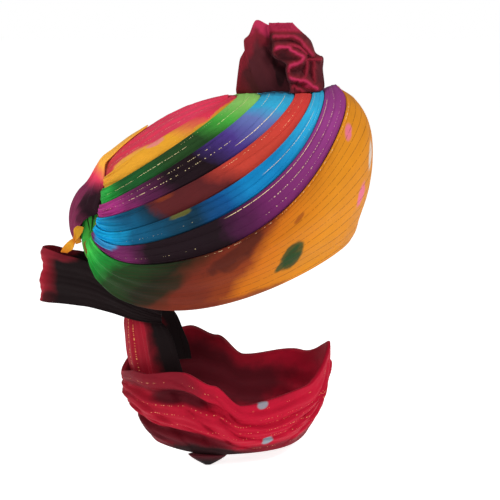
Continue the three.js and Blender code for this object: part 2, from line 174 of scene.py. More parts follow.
def lay_cloth(name, along, across, place):
    """A new sheet of along x across cells. place turns the shares (u, v) of each cell's corners into
    points in millimetres, and into the shares that the dye and the yarn follow."""
    bpy.ops.object.select_all(action="DESELECT")
    bpy.ops.mesh.primitive_grid_add(x_subdivisions=along, y_subdivisions=across, size=1)
    piece = bpy.context.object
    piece.name = piece.data.name = name
    flat = np.empty(len(piece.data.vertices) * 3)
    piece.data.vertices.foreach_get("co", flat)
    u, v = flat[0::3] + 0.5, flat[1::3] + 0.5
    points, shares = place(u, v)
    piece.data.vertices.foreach_set("co", (points * MM).ravel())
    corners = np.empty(len(piece.data.loops), dtype=int)
    piece.data.loops.foreach_get("vertex_index", corners)
    piece.data.uv_layers[0].data.foreach_set("uv", shares[corners].ravel())
    piece.data.update()
    return piece


def smooth_outward(piece):
    bpy.context.view_layer.objects.active = piece
    bpy.ops.object.mode_set(mode="EDIT")
    bpy.ops.mesh.select_all(action="SELECT")
    bpy.ops.mesh.normals_make_consistent(inside=False)
    bpy.ops.object.mode_set(mode="OBJECT")
    bpy.ops.object.shade_smooth()


def close_roll(piece):
    """Joins the long edges of a sheet that is rolled into a tube, and closes its ends."""
    bpy.context.view_layer.objects.active = piece
    bpy.ops.object.mode_set(mode="EDIT")
    bpy.ops.mesh.select_all(action="SELECT")
    bpy.ops.mesh.remove_doubles(threshold=1e-6)
    bpy.ops.mesh.fill_holes(sides=0)
    bpy.ops.object.mode_set(mode="OBJECT")
    smooth_outward(piece)


def roll_share(v, points, back_points):
    """The share across a closed roll, up its outer points and down its hidden ones, and which are outer."""
    whole = points + back_points
    step = np.rint(v * whole)
    outer = (step <= points) | (step == whole)
    hidden = 1 - (step - points - 0.5) / (back_points - 1)
    share = np.where(step == whole, 0, np.where(outer, step / points, hidden))
    return np.clip(share, 0, 1), outer


def edge_line(index, turn):
    """An edge between two passes, from the front at turn 0 round either side to the knot at 1 or -1."""
    top_y, top_z, belly_y, belly_z, half, end_x, end_y, end_z, sweep, _ = PASS_EDGES[index]
    angle = np.pi * np.abs(turn)
    c = (1 + np.cos(angle)) / 2
    swing = np.maximum(np.sin(angle), 0)
    front = half * swing ** mix(*FRONT_FULLNESS, index / LAST_EDGE)
    back = end_x + (half - end_x) * swing ** BACK_FULLNESS
    reach = np.where(angle < np.pi / 2, front, back)
    y = (1 - c) ** 2 * end_y + 2 * c * (1 - c) * belly_y + c ** 2 * top_y
    z = (1 - c) ** 2 * end_z + 2 * c * (1 - c) * belly_z + c ** 2 * top_z + sweep * (1 - c) ** SWEEP_POWER
    if index == 1:
        y = y + FRONT_TUCK * c ** TUCK_POWER
    return columns(np.sign(turn) * reach, y, z)


def form_normal(points):
    out = (points - FORM_CENTRE) / FORM_RADII ** 2
    return out / np.linalg.norm(out, axis=1)[:, None]


def pleat_teeth(s):
    """Small pleats that lap like shingles: a slow climb and a short drop in each unit of s."""
    part = s - np.floor(s)
    return np.where(part < 0.8, ease(part, -0.35, 0.8), 1 - ease(part, 0.8, 1.0)) - 0.5


def wind_pass(name, index, front_belly, side_belly, pleats, pleat_depth, points, seed):
    """One pass of the winding between two edges, closed round its hidden side."""
    broad = name == "front_band"

    def place(u, v):
        turn = np.sign(2 * u - 1) * np.abs(2 * u - 1) ** COLUMN_POWER
        share, outer = roll_share(v, points, BACK_POINTS)
        face = np.where(outer, np.minimum(share / FACE_SHARE, 1), share)
        roll = np.where(outer, np.clip((share - FACE_SHARE) / (1 - FACE_SHARE), 0, 1), 0) * np.pi
        from_front = np.abs(turn)
        angle = np.pi * from_front
        to_knot = (1 - np.cos(angle)) / 2
        to_front = 1 - to_knot
        pressed = 1 if broad else mix(PRESSED, 1, ease(angle, 0.15, 0.8))
        height = pressed * mix(1, PRESSED_AT_KNOT, to_knot)
        low, high = edge_line(index, turn), edge_line(index + 1, turn)
        width = np.linalg.norm(high - low, axis=1)
        up = (high - low) / width[:, None]
        inset = np.minimum(GAP / 2 / width, 0.2)
        round_edge = np.clip(0.42 * PLEAT_RISE * height, *EDGE_ROUND)
        room = 1 - 2 * inset - np.where(outer, 0.9 * round_edge / width, 0)
        p = low + (high - low) * (inset + face * room)[:, None]
        out = form_normal(p)
        # the belly of the whole pass, and its climb to the upper edge
        arch = np.sin(np.pi * face ** (1.27 if broad else 1))
        facing = np.maximum(np.cos(angle), 0)
        swell = arch * mix(side_belly * (1 - to_knot ** 4), front_belly, facing ** 1.4)
        slope = np.interp(face, *BAND_SLOPE) if broad else face
        rise = height * (PLEAT_RISE * slope + PLEAT_CROWN * arch)
        # the small pleats, the gathers near the knot and the creases
        fade = ease(face, 0, 0.08) * ease(1 - face, 0, 0.06)
        lines = pleats * face + 0.5 * fade * drift(4 * turn + 9, 0 * face, seed)
        depth = pleat_depth * (0.75 + 0.5 * drift(7 * turn + 20, np.floor(lines), seed + 1))
        depth = depth * (1 - ease(from_front, 0.88, 0.97)) * mix(0.6, 1, pressed)
        drawn_in = ease(from_front, 0.66, 0.9) * (1 - ease(from_front, 0.9, 0.98))
        gathers = np.cos(2 * np.pi * (2.6 * face + 0.35 * drift(9 * turn, 2 * face, seed + 2)))
        small = depth * pleat_teeth(lines) + GATHER_DEPTH * drawn_in * gathers
        small += SOFT_CREASE * drift(11 * turn + 30, 2.2 * face + 5, seed + 3)
        small += FINE_CREASE * drift(52 * turn + 80, 6 * face + 5, seed + 4)
        if broad:
            waves = drift(6 * turn + 4 * face + 12, 5 * face - 3 * from_front + 8, seed + 5)
            small += mix(*BAND_SLACK, to_front ** 20) * waves
        rise += fade * small
        if broad:
            rise -= BAND_RIM_TURN * (1 - ease(face, -0.03, 0.045)) * to_front
            rise -= BAND_TOP_TURN * ease(face, 0.8, 1) * to_front ** TUCK_POWER
        # the end, tucked into the knot, and the rolled edge
        wall = mix(mix(PASS_EDGES[index, 9], PASS_EDGES[index + 1, 9], face), END_WALL, to_knot ** 3)
        tucked = ease(from_front, 0.95, 1) ** 2
        rise = mix(rise, -0.55 * END_WALL, tucked)
        lift = np.where(outer, swell + rise - round_edge * (1 - np.cos(roll)) * (1 - tucked), swell - wall)
        over = np.where(outer, 1.35 * round_edge * np.sin(roll), 0)
        return p + out * lift[:, None] + up * over[:, None], columns((turn + 1) / 2, face)

    piece = lay_cloth(name + "_cloth", PASS_COLUMNS, points + BACK_POINTS, place)
    close_roll(piece)
    return piece


def dye(code):
    """A colour as it looks, #rrggbb, in the renderer's linear values, for dyes and for painted shade alike."""
    parts = [int(code[i:i + 2], 16) / 255 for i in (1, 3, 5)]
    return tuple(c / 12.92 if c <= 0.04045 else ((c + 0.055) / 1.055) ** 2.4 for c in parts) + (1.0,)


def put(tree, kind, feeds=None, **settings):
    """Adds a node, sets it, and feeds its inputs from values or from other nodes' outputs."""
    node = tree.nodes.new(kind)
    for key, value in settings.items():
        setattr(node, key, value)
    for key, value in (feeds or {}).items():
        if isinstance(value, bpy.types.NodeSocket):
            tree.links.new(value, node.inputs[key])
        else:
            node.inputs[key].default_value = value
    return node


def sums(tree, operation, a, b=0.0, c=0.0):
    return put(tree, "ShaderNodeMath", {0: a, 1: b, 2: c}, operation=operation).outputs[0]


def ranged(tree, value, from_low, from_high, to_low=0.0, to_high=1.0, way="LINEAR"):
    feeds = {"Value": value, "From Min": from_low, "From Max": from_high, "To Min": to_low, "To Max": to_high}
    return put(tree, "ShaderNodeMapRange", feeds, interpolation_type=way).outputs["Result"]


def blend_colour(tree, share, a, b, way="MIX"):
    feeds = {"Factor": share, 6: a, 7: b}  # a mix node's seventh and eighth inputs are its colours
    return put(tree, "ShaderNodeMix", feeds, data_type="RGBA", blend_type=way).outputs[2]


def new_effect(name, inputs, outputs):
    tree = bpy.data.node_groups.new(name, "ShaderNodeTree")
    for label, kind, value in inputs:
        socket = tree.interface.new_socket(name=label, in_out="INPUT", socket_type=kind)
        if value is not None:
            socket.default_value = value
    for label, kind in outputs:
        tree.interface.new_socket(name=label, in_out="OUTPUT", socket_type=kind)
    return tree, tree.nodes.new("NodeGroupInput").outputs, tree.nodes.new("NodeGroupOutput").inputs


FLOAT, VECTOR = "NodeSocketFloat", "NodeSocketVector"
ON_CLOTH = [("Along", FLOAT, 0), ("Across", FLOAT, 0)]
FULL_TURN = 6.2832

# plain weave: crossed yarns, from distances in metres along and across the cloth
weave, given, made = new_effect("plain_weave", ON_CLOTH + [("Yarns", FLOAT, 900.0)],
                                [("Height", FLOAT), ("Tone", FLOAT)])
yarn_turns = sums(weave, "MULTIPLY", given["Yarns"], FULL_TURN)
warp, weft = [sums(weave, "SINE", sums(weave, "MULTIPLY", given[way], yarn_turns)) for way in ("Along", "Across")]
crossing = sums(weave, "MULTIPLY", warp, weft)
weave.links.new(sums(weave, "MULTIPLY_ADD", crossing, 0.5, 0.5), made["Height"])
weave.links.new(sums(weave, "MULTIPLY_ADD", crossing, 0.03, 1.0), made["Tone"])

# dye cloud: the uneven take-up of a hand dye, as a tone and as a shift of the dye's edges
cloud, given, made = new_effect("dye_cloud", [
    ("Place", VECTOR, None), ("Size", FLOAT, 32.0), ("Depth", FLOAT, 0.25)], [("Tone", FLOAT), ("Shift", FLOAT)])
broad_cloud = put(cloud, "ShaderNodeTexNoise", {
    "Vector": given["Place"], "Scale": given["Size"], "Detail": 4.0, "Roughness": 0.6})
cloud_swing = sums(cloud, "SUBTRACT", broad_cloud.outputs["Fac"], 0.5)
cloud.links.new(sums(cloud, "MULTIPLY_ADD", cloud_swing, given["Depth"], 1.0), made["Tone"])
cloud.links.new(cloud_swing, made["Shift"])


def broken_line(tree, given, off_line, strand, softness):
    """How much of a broken yarn shows, from the distance to its line and from a number of its own."""
    on_line = ranged(tree, off_line, sums(tree, "MULTIPLY", given["Width"], 0.5), given["Width"], 1.0, 0.0)
    dash_place = put(tree, "ShaderNodeCombineXYZ", {
        "X": sums(tree, "MULTIPLY", given["Along"], given["Dashes"]), "Y": strand})
    dash = put(tree, "ShaderNodeTexNoise", {
        "Vector": dash_place.outputs["Vector"], "Scale": 1.0, "Detail": 1.0}, noise_dimensions="2D")
    bare = sums(tree, "SUBTRACT", 0.78, sums(tree, "MULTIPLY", given["Cover"], 0.55))
    shown = ranged(tree, dash.outputs["Fac"], bare, sums(tree, "ADD", bare, softness))
    return sums(tree, "MULTIPLY", on_line, shown)


# gold yarn: one broken line of metal yarn that runs along the cloth between two places
YARN_FADE = 0.02  # share of the cloth over which it begins and ends
gold, given, made = new_effect("gold_yarn", ON_CLOTH + [
    ("Line", FLOAT, 0.5), ("Width", FLOAT, 0.013), ("Dashes", FLOAT, 110.0), ("Cover", FLOAT, 0.5),
    ("Start", FLOAT, 0), ("End", FLOAT, 1)], [("Mask", FLOAT)])
off_line = sums(gold, "ABSOLUTE", sums(gold, "SUBTRACT", given["Across"], given["Line"]))
yarn_shown = broken_line(gold, given, off_line, sums(gold, "MULTIPLY", given["Line"], 97.0), 0.05)
begun = ranged(gold, given["Along"], given["Start"], sums(gold, "ADD", given["Start"], YARN_FADE))
ended = ranged(gold, given["Along"], sums(gold, "SUBTRACT", given["End"], YARN_FADE), given["End"], 1.0, 0.0)
gold.links.new(sums(gold, "MULTIPLY", sums(gold, "MULTIPLY", begun, ended), yarn_shown), made["Mask"])

# shaded yarn rows: even rows of broken dark yarn along the cloth, the gold yarn painted dark as shade
shaded_yarn, given, made = new_effect("yarn_shade_rows", ON_CLOTH + [
    ("Rows", FLOAT, 9.0), ("Width", FLOAT, 0.04), ("Dashes", FLOAT, 150.0), ("Cover", FLOAT, 0.5)],
    [("Mask", FLOAT)])
strand = sums(shaded_yarn, "MULTIPLY", given["Across"], given["Rows"])
shade_row_off = sums(shaded_yarn, "ABSOLUTE", sums(shaded_yarn, "SUBTRACT", sums(shaded_yarn, "FRACT", strand), 0.5))
strand_number = sums(shaded_yarn, "MULTIPLY", sums(shaded_yarn, "FLOOR", strand), 7.31)
shaded_yarn.links.new(broken_line(shaded_yarn, given, shade_row_off, strand_number, 0.08), made["Mask"])

# colour spot: a soft-edged spot of another colour, for spots of dye and for painted shade
blot, given, made = new_effect("colour_spot", ON_CLOTH + [
    ("Centre Along", FLOAT, 0), ("Centre Across", FLOAT, 0), ("Half Along", FLOAT, 0.1),
    ("Half Across", FLOAT, 0.1), ("Wander", FLOAT, 0)], [("Mask", FLOAT)])
squares = []
for way in ("Along", "Across"):
    off_centre = sums(blot, "SUBTRACT", given[way], given["Centre " + way])
    in_halves = sums(blot, "DIVIDE", off_centre, given["Half " + way])
    squares.append(sums(blot, "MULTIPLY", in_halves, in_halves))
blot_radius = sums(blot, "SQRT", sums(blot, "ADD", *squares))
blot_edge = sums(blot, "MULTIPLY_ADD", given["Wander"], 1.6, blot_radius)
blot.links.new(ranged(blot, blot_edge, 0.65, 1.15, 1.0, 0.0, "SMOOTHSTEP"), made["Mask"])


def effect(tree, group, feeds):
    return put(tree, "ShaderNodeGroup", feeds, node_tree=group).outputs


CLOUD_DEPTH = 0.35
EDGE_SHIFT = 0.09  # how far a cloud moves the edge between two dyes
COTTON_ROUGHNESS, ROUGHNESS_SWING = 0.68, 0.2
YARN_METAL, YARN_SMOOTHER, YARN_HEIGHT = 0.3, -0.24, 1.5
PALE_GOLD, DEEP_GOLD, ROSE_GOLD = "#f6dfa8", "#f0a860", "#f4b878"


def coloured_cloth(name, stops, length, width, lines=(), spots_and_shade=(), yarn_in_shade=None, mirrored=True, sheen=0.03,
               lone_blots=(), slant=0.0, yarn_width=0.013, dashes=110, yarn_dye=PALE_GOLD, wander=1.0):
    """Woven cloth, its length and width in metres, dyed in bands along its length, with gold yarn, rows of
    that yarn painted dark as shade, and soft spots of other colours that stand for dye and for painted shade."""
    material = bpy.data.materials.new(name)
    material.use_nodes = True
    tree = material.node_tree
    shader = tree.nodes["Principled BSDF"]
    shares = put(tree, "ShaderNodeSeparateXYZ", {
        "Vector": put(tree, "ShaderNodeUVMap", uv_map="UVMap").outputs["UV"]}).outputs
    along, across = shares["X"], shares["Y"]
    if mirrored:
        place_along = sums(tree, "ABSOLUTE", sums(tree, "MULTIPLY_ADD", along, 2.0, -1.0))
    else:
        place_along = along
    clouds = effect(tree, cloud, {
        "Place": put(tree, "ShaderNodeTexCoord").outputs["Object"], "Depth": CLOUD_DEPTH})
    weaves = effect(tree, weave, {
        "Along": sums(tree, "MULTIPLY", along, length), "Across": sums(tree, "MULTIPLY", across, width)})
    shifted = sums(tree, "MULTIPLY_ADD", clouds["Shift"], EDGE_SHIFT, place_along)
    shifted = sums(tree, "MULTIPLY_ADD", across, slant, shifted)
    ramp = put(tree, "ShaderNodeValToRGB", {"Fac": shifted})
    bands = ramp.color_ramp.elements
    for band, (position, code) in ((bands[0], stops[0]), (bands[1], stops[-1])):
        band.position, band.color = position, dye(code)
    for position, code in stops[1:-1]:
        bands.new(position).color = dye(code)
    colour = ramp.outputs["Color"]
    spots = [(place_along, row) for row in spots_and_shade] + [(along, row) for row in lone_blots]
    for spot_along, (centre_along, centre_across, half_along, half_across, code, strength) in spots:
        spot = effect(tree, blot, {
            "Along": spot_along, "Across": across, "Centre Along": centre_along, "Centre Across": centre_across,
            "Half Along": half_along, "Half Across": half_across,
            "Wander": sums(tree, "MULTIPLY", clouds["Shift"], wander)})
        colour = blend_colour(tree, sums(tree, "MULTIPLY", spot["Mask"], strength), colour, dye(code))
    toned = put(tree, "ShaderNodeCombineColor", {
        key: sums(tree, "MULTIPLY", clouds["Tone"], weaves["Tone"]) for key in ("Red", "Green", "Blue")})
    colour = blend_colour(tree, 1.0, colour, toned.outputs["Color"], way="MULTIPLY")
    roughness = sums(tree, "MULTIPLY_ADD", clouds["Shift"], ROUGHNESS_SWING, COTTON_ROUGHNESS)
    height = weaves["Height"]
    # rows of the gold yarn painted dark, as it looks in shade
    if yarn_in_shade:
        rows, shade_row_width, shade_row_dashes, cover, code, strength = yarn_in_shade
        painted_yarn_shade = effect(tree, shaded_yarn, {
            "Along": place_along, "Across": across, "Rows": rows, "Width": shade_row_width, "Dashes": shade_row_dashes,
            "Cover": cover})["Mask"]
        colour = blend_colour(tree, sums(tree, "MULTIPLY", painted_yarn_shade, strength), colour, dye(code))
        height = sums(tree, "MULTIPLY_ADD", painted_yarn_shade, -1.0, height)
    yarn = None
    for line, start, end, cover in lines:
        strand_mask = effect(tree, gold, {
            "Along": place_along, "Across": across, "Line": line, "Width": yarn_width, "Dashes": dashes,
            "Cover": cover, "Start": start, "End": end})["Mask"]
        yarn = sums(tree, "MAXIMUM", yarn, strand_mask) if yarn else strand_mask
    if yarn:
        colour = blend_colour(tree, yarn, colour, dye(yarn_dye))
        tree.links.new(sums(tree, "MULTIPLY", yarn, YARN_METAL), shader.inputs["Metallic"])
        roughness = sums(tree, "MULTIPLY_ADD", yarn, YARN_SMOOTHER, roughness)
        height = sums(tree, "MULTIPLY_ADD", yarn, YARN_HEIGHT, height)
    tree.links.new(colour, shader.inputs["Base Color"])
    tree.links.new(roughness, shader.inputs["Roughness"])
    shader.inputs["Sheen Weight"].default_value = sheen
    shader.inputs["Sheen Roughness"].default_value = 0.4
    shader.inputs["Specular IOR Level"].default_value = 0.1
    bump = put(tree, "ShaderNodeBump", {"Height": height, "Strength": 0.25, "Distance": 0.0006})
    tree.links.new(bump.outputs["Normal"], shader.inputs["Normal"])
    return material


def dress(piece, material):
    piece.data.materials.clear()
    piece.data.materials.append(material)
    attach(piece, "root")


# name, front belly, side belly, small pleats, their depth, points across
PASSES = [
    ("front_band", 30, 8, 3, 0.9, 110),
    ("wrap_purple", 0, 2, 3, 1.5, 64),
    ("wrap_blue", 0, 2, 3, 1.4, 60),
    ("wrap_red", 0, 1, 2, 1.2, 56),
    ("wrap_violet", 1, 1, 4, 1.5, 60),
    ("wrap_green", 1, 1, 3, 1.4, 56),
    ("wrap_yellow", 0, 0, 2, 1.0, 52),
]
# gold yarn: place across, from, to, share covered
PASS_YARN = {
    "front_band": [(0.985, 0.12, 0.62, 0.4)],
    "wrap_purple": [(0.95, 0.1, 0.56, 0.75), (0.62, 0.02, 0.46, 0.5), (0.3, 0.1, 0.48, 0.35),
                    (0.33, 0.6, 0.95, 0.25)],
    "wrap_blue": [(0.6, 0.18, 0.44, 0.8), (0.9, 0.02, 0.2, 0.6), (0.3, 0.05, 0.3, 0.3), (0.35, 0.6, 0.9, 0.2)],
    "wrap_red": [(0.55, 0.05, 0.34, 0.35), (0.9, 0.1, 0.5, 0.3)],
    "wrap_violet": [(0.3, 0.05, 0.42, 0.7), (0.78, 0.02, 0.2, 0.7), (0.55, 0.4, 0.9, 0.45),
                    (0.82, 0.45, 0.8, 0.35)],
    "wrap_green": [(0.45, 0.08, 0.36, 0.65), (0.52, 0.48, 0.88, 0.6), (0.85, 0.2, 0.5, 0.3)],
    "wrap_yellow": [(0.3, 0.1, 0.5, 0.2)],
}
# the colours of the strip: its dyes, and dark ones that also stand for painted shade; many come back in several of
# its bands
AMBER, MARIGOLD, ORANGE, DEEP_ORANGE = "#f6b040", "#dc9a28", "#cc8018", "#c06810"
RUST, MAROON, BROWN = "#803412", "#6c2616", "#461a12"
LIME, GRASS, BRIGHT_GREEN, LEAF_GREEN = "#92d068", "#42a43a", "#40c850", "#209a3a"
FOREST, BOTTLE_GREEN, BLACK_GREEN = "#145022", "#20401c", "#1c1e0e"
SKY, TURQUOISE, BLUE, DEEP_BLUE = "#30aeda", "#08a8dc", "#0878b0", "#064880"
PETROL, MIDNIGHT = "#045478", "#062a3c"
MAUVE, MAGENTA, BERRY, PURPLE = "#90387f", "#a42e7a", "#7a2862", "#661f58"
PLUM, WINE, BLACK_PLUM = "#581c46", "#78284a", "#180810"
LILAC, VIOLET = "#6678b8", "#46317c"
PINK, ROSE, CRIMSON = "#d8688e", "#e43a5c", "#dc3450"
RED, BRICK, OXBLOOD = "#d83e38", "#ba3c2e", "#521a1c"
SCARLET, RUBY, GARNET = "#b20b2c", "#981226", "#460c16"
RASPBERRY, CLARET, DARK_CLARET, BLACK_CLARET = "#b82c52", "#801c2a", "#501e24", "#14080a"
PALE, SILVER, OLIVE = "#cfc8c0", "#8496a0", "#64601e"

# place along, colour; the dark stretch partway along each side of every pass but the yellow one is partly dye and
# partly painted shade
PASS_DYES_AND_SHADE = {
    "front_band": [(0.25, ORANGE), (0.41, DEEP_ORANGE), (0.46, RUST), (0.57, MAROON), (0.66, BLACK_GREEN),
                   (0.79, BOTTLE_GREEN), (0.86, LEAF_GREEN), (0.92, BRIGHT_GREEN)],
    "wrap_purple": [(0.2, MAUVE), (0.45, PURPLE), (0.57, BLACK_PLUM), (0.73, BLACK_PLUM), (0.82, BERRY)],
    "wrap_blue": [(0.2, SKY), (0.38, BLUE), (0.48, BLUE), (0.55, DEEP_BLUE), (0.62, MIDNIGHT), (0.76, PETROL),
                  (0.84, TURQUOISE)],
    "wrap_red": [(0.12, RED), (0.35, BRICK), (0.43, BRICK), (0.52, OXBLOOD), (0.66, OXBLOOD), (0.69, MIDNIGHT),
                 (0.77, PETROL), (0.9, TURQUOISE)],
    "wrap_violet": [(0, PETROL), (0.08, SKY), (0.2, SKY), (0.27, LILAC), (0.4, VIOLET), (0.5, BLACK_PLUM),
                    (0.6, BLACK_PLUM), (0.72, PLUM), (0.83, MAGENTA)],
    "wrap_green": [(0.15, LIME), (0.32, GRASS), (0.43, BOTTLE_GREEN), (0.55, BOTTLE_GREEN), (0.66, FOREST),
                   (0.75, FOREST), (0.84, LEAF_GREEN)],
    "wrap_yellow": [(0.3, CRIMSON), (0.45, MARIGOLD)],
}
# place along, place across, half along, half across, colour, strength
PASS_SPOTS_AND_SHADE = {
    "front_band": [
        (0.191, 0.9, 0.022, 0.07, PINK, 0.8), (0.134, 0.376, 0.02, 0.075, PINK, 0.8),
        (0.335, 0.36, 0.02, 0.085, BOTTLE_GREEN, 0.9), (0.32, 0.31, 0.022, 0.09, BOTTLE_GREEN, 0.9),
        (0.315, 0.24, 0.018, 0.075, BOTTLE_GREEN, 0.9), (0.338, 0.25, 0.014, 0.06, BOTTLE_GREEN, 0.9),
        # the broad band's large brown, maroon and black green patches are partly dye and partly painted shade
        (0.356, 0.7, 0.012, 0.035, RUST, 0.6), (0.52, 0.8, 0.05, 0.24, BROWN, 0.8),
        (0.49, 0.62, 0.03, 0.12, BROWN, 0.6), (0.645, 0.4, 0.05, 0.35, BLACK_GREEN, 0.85),
        (0.546, 0.25, 0.06, 0.2, MAROON, 0.8), (0.44, 0.02, 0.13, 0.08, MAROON, 0.7)],
    "wrap_purple": [(0.885, 0.97, 0.06, 0.4, TURQUOISE, 0.8)],
    "wrap_blue": [(0.635, 0.97, 0.028, 0.16, OLIVE, 0.8)],
    "wrap_red": [(0.66, 0.95, 0.03, 0.15, RUST, 0.6)],
    "wrap_yellow": [(0.25, 0, 0.22, 0.3, MARIGOLD, 0.9), (0.5, 0.97, 0.04, 0.25, PINK, 0.6)],
}
PALE_SPOT = (0.452, 0.55, 0.009, 0.08, PALE, 0.8)  # on the right side only
# rows, their width, dashes, share covered, colour, strength: the broad band's gold yarn painted brown as shade
BAND_YARN_IN_SHADE = (13, 0.05, 260, 0.8, BROWN, 0.6)
RED_SLANT = -0.04  # the red pass changes dye a little later along its upper edge
for index, (name, *form) in enumerate(PASSES):
    wound = wind_pass(name, index, *form, seed=20 + 10 * index)
    broad = name == "front_band"
    # each pass's colours are dye, with painted shade in the dark stretch along each side and in the broad band's
    # dark patches and brown yarn rows
    cloth = coloured_cloth(name + "_dye", PASS_DYES_AND_SHADE[name], 0.6, 0.1 if broad else 0.035, PASS_YARN[name],
                       PASS_SPOTS_AND_SHADE.get(name, ()), BAND_YARN_IN_SHADE if broad else None,
                       lone_blots=[PALE_SPOT] if broad else (), slant=RED_SLANT if name == "wrap_red" else 0,
                       yarn_width=0.004 if broad else 0.012, dashes=250)
    dress(wound, cloth)
    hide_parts(name)

# The crown: the first passes of the strip, dyed crimson, laid flat over the top and back of the head.
# Its pleats follow the last wound edge, and its rim is tucked under the yellow pass.
CROWN_POINTS = 120
CROWN_BACK_POINTS = 16
CROWN_WALL = 12


def lay_crown(u, v):
    share, outer = roll_share(v, CROWN_POINTS, CROWN_BACK_POINTS)
    across = 2 * share - 1
    turn = mix(0.05, 0.985, u)
    edge = edge_line(LAST_EDGE, -turn)
    half = np.maximum(-edge[:, 0] - 2 * GAP, 1)
    rise = mix(mix(5, 17, ease(turn, 0.05, 0.5)), 18.5, ease(turn, 0.5, 0.75))
    p = columns(half * across, edge[:, 1], edge[:, 2] + rise * (1 - across ** 2))
    inward = 1 - np.abs(across)
    fade = ease(inward, 0, 0.1) * ease(u, 0, 0.08) * ease(1 - u, 0, 0.1)
    lines = 3.4 * inward + 0.35 * drift(5 * turn + 3, 2 * np.sign(across) + 4, 91)
    under_fold = ease(turn, 0.5, 0.6) * (1 - ease(np.abs(p[:, 0]), 22, 34))
    pleats = 1.5 * pleat_teeth(-lines) + 0.7 * drift(9 * turn, 4 * across + 8, 92) - 0.9
    lift = fade * (pleats * (1 - under_fold) + 0.2 * drift(50 * turn, 12 * across + 20, 93))
    lift = np.where(outer, lift, -CROWN_WALL)
    return p + form_normal(p) * lift[:, None], columns(u, (across + 1) / 2)


crown = lay_cloth("crown_cloth", 160, CROWN_POINTS + CROWN_BACK_POINTS, lay_crown)
close_roll(crown)
crown_dye = coloured_cloth("crown_dye", [(0, CRIMSON), (0.3, ROSE), (0.65, CRIMSON), (1, BRICK)], 0.3, 0.2, lines=[
    (0.12, 0.2, 0.9, 0.45), (0.24, 0.3, 0.95, 0.5), (0.36, 0.2, 0.7, 0.35),
    (0.64, 0.2, 0.7, 0.35), (0.76, 0.3, 0.95, 0.5), (0.88, 0.2, 0.9, 0.45)],
    spots_and_shade=[(0.65, 0, 0.15, 0.085, AMBER, 0.95), (0.65, 1, 0.15, 0.085, AMBER, 0.95)],
    mirrored=False, yarn_width=0.003, dashes=120)
dress(crown, crown_dye)
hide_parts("crown")

# The back fold: a pass that lies along the middle of the crown and hangs as a soft lobe over the knot.
# It is the same cotton, dyed orange above and plum below, and lies in three long pleats.
# y, z, half width, curl
FOLD_ROWS = np.array([
    [108, 146, 7, 0.1], [117.3, 140.5, 15, 0.7], [127.9, 134.1, 21, 2], [137.8, 126.7, 24, 2.7],
    [147.1, 119, 25.5, 3.3], [157, 111, 27.5, 5], [164, 99.8, 29, 11], [173, 84.5, 29, 19],
    [184.2, 72.3, 29, 28.5], [191.5, 58, 28.5, 22.5], [194, 43.6, 29, 14.5], [192.5, 28, 25, 8.5],
    [187, 16, 17, 4.5],
])
FOLD_SINK = 1.5  # how far its middle lies under the line of these rows


def smooth_rows(rows, share):
    """A row between the rows of a table, on a smooth curve through them."""
    spot = np.clip(share, 0, 1) * (len(rows) - 1)
    i = np.minimum(np.floor(spot).astype(int), len(rows) - 2)
    s = (spot - i)[:, None]
    a, b = rows[i], rows[i + 1]
    before = rows[np.maximum(i - 1, 0)]
    after = rows[np.minimum(i + 2, len(rows) - 1)]
    leaving, arriving = (b - before) / 2, (after - a) / 2
    return (2 * s ** 3 - 3 * s ** 2 + 1) * a + (s ** 3 - 2 * s ** 2 + s) * leaving \
        + (3 * s ** 2 - 2 * s ** 3) * b + (s ** 3 - s ** 2) * arriving


def row_course(rows, share, step):
    """The way that a table's rows run, in their first two columns, as a unit length."""
    course = (smooth_rows(rows, share + step) - smooth_rows(rows, share - step))[:, :2]
    return (course / np.linalg.norm(course, axis=1)[:, None]).T


def hang_back_fold(u, v):
    across = 2 * v - 1
    y, z, half_width, curl = smooth_rows(FOLD_ROWS, u).T
    course_y, course_z = row_course(FOLD_ROWS, u, 0.01)
    lobe = ease(y, 130, 175)
    pleats = 1.5 * np.cos(3 * np.pi * across + 0.5 * drift(5 * u, 0 * u, 41))
    fine = np.cos(9 * np.pi * across + 5 * u + 2 * drift(6 * u, 3 * across + 5, 42))
    lift = lobe * (pleats + fine) - curl * across ** 2 - FOLD_SINK
    return columns(half_width * across, y - course_z * lift, z + course_y * lift), columns(u, v)


def give_thickness(piece, thickness, levels=0):
    """Turns a single sheet into cloth of a real thickness in millimetres, about its middle."""
    bpy.ops.object.select_all(action="DESELECT")
    piece.select_set(True)
    bpy.context.view_layer.objects.active = piece
    wall = piece.modifiers.new("thickness", "SOLIDIFY")
    wall.thickness = thickness * MM
    wall.offset = 0
    bpy.ops.object.modifier_apply(modifier="thickness")
    if levels:
        soft = piece.modifiers.new("softness", "SUBSURF")
        soft.levels = soft.render_levels = levels
        bpy.ops.object.modifier_apply(modifier="softness")
    smooth_outward(piece)


back_fold = lay_cloth("back_fold_cloth", 90, 60, hang_back_fold)
give_thickness(back_fold, 1.4, levels=1)
back_fold_dye_and_shade = coloured_cloth("back_fold_dye_and_shade", [
    (0.44, AMBER), (0.53, ROSE), (0.6, WINE), (0.92, WINE), (0.97, ORANGE)],
    0.2, 0.07, lines=[(0.3, 0.1, 0.5, 0.3), (0.62, 0.3, 0.9, 0.25)], spots_and_shade=[
    # the black plum along both edges and nearer the knot is painted shade where the lobe turns in
    (0.655, 0.02, 0.12, 0.26, BLACK_PLUM, 0.95), (0.655, 0.98, 0.12, 0.26, BLACK_PLUM, 0.95),
    (0.77, 0.04, 0.08, 0.12, BLACK_PLUM, 0.6), (0.77, 0.96, 0.08, 0.12, BLACK_PLUM, 0.6)],
    mirrored=False, yarn_width=0.004, dashes=120, wander=0.6)
dress(back_fold, back_fold_dye_and_shade)
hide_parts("back_fold")

